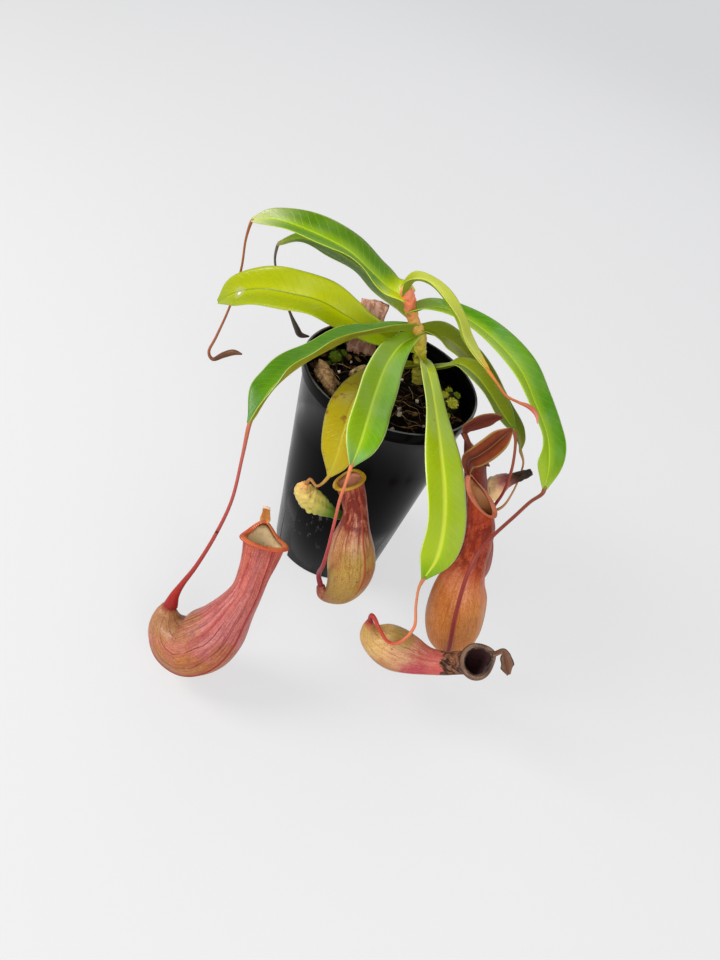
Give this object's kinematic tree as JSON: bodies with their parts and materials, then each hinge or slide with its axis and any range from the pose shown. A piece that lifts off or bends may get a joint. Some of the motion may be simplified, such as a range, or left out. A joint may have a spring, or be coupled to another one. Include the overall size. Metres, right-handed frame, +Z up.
{
  "type": "potted pitcher plant",
  "caption": "Young tropical pitcher plant in a slim black nursery pot, with strap leaves, thin tendrils and hanging tubular pitchers.",
  "frame": {"origin": "centre of the pot's flat base", "axes": "+Z up along the pot's axis, -Y towards the plant's best side, where most of the pitchers hang"},
  "size_m": [0.1906, 0.1816, 0.1658],
  "materials": {
    "pot": "glossy black moulded plastic",
    "potting_mix": "dark bark and peat mix",
    "bark": "rough split bark",
    "moss": "soft green moss",
    "stem": "waxy green and orange stem",
    "leaf_dark": "waxy dark green leaf",
    "leaf_fresh": "waxy fresh green leaf",
    "leaf_pale": "waxy yellow-green leaf",
    "leaf_yellow": "old yellowing leaf",
    "tendril": "smooth red-brown tendril",
    "pitcher_red": "waxy red pitcher wall",
    "pitcher_olive": "waxy olive and red pitcher wall",
    "pitcher_brown": "waxy orange-brown pitcher wall",
    "lip": "glossy ribbed pitcher lip",
    "dried": "dried dark plant tissue"
  },
  "bodies": {
    "root": {"pot": "pot", "stem": "stem", "bark_back": "bark", "bark_left": "bark", "bark_middle": "bark", "moss_right": "moss", "moss_left": "moss", "potting_mix": "potting_mix", "leaf_back_left": "leaf_dark", "leaf_far_left": "leaf_dark", "leaf_pale_left": "leaf_pale", "leaf_folded_left": "leaf_dark", "leaf_front": "leaf_fresh", "leaf_yellow": "leaf_yellow", "leaf_long_front": "leaf_fresh", "leaf_young": "leaf_fresh", "leaf_right": "leaf_dark", "leaf_back_right": "leaf_pale", "leaf_low_right": "leaf_dark", "tendril_back_left": "dried", "tendril_far_left": "dried", "tendril_folded_left": "tendril", "tendril_front": "tendril", "tendril_yellow": "tendril", "tendril_long_front": "tendril", "tendril_young": "tendril", "tendril_right": "tendril", "tendril_back_right": "tendril", "tendril_low_right": "tendril", "pitcher_left": "pitcher_red", "pitcher_left_lip": "lip", "pitcher_centre": "pitcher_olive", "pitcher_centre_lip": "lip", "pitcher_lying": "pitcher_olive", "pitcher_lying_lip": "dried", "pitcher_brown": "pitcher_brown", "pitcher_brown_lip": "lip", "pitcher_dark": "pitcher_red", "pitcher_dark_lip": "dried", "pitcher_small": "pitcher_olive", "pitcher_shrivelled": "leaf_fresh", "pitcher_brown_lid": "pitcher_brown", "pitcher_dark_lid": "pitcher_red", "pitcher_left_lid_stub": "lip", "pitcher_lying_lid": "dried"}
  },
  "joints": []
}
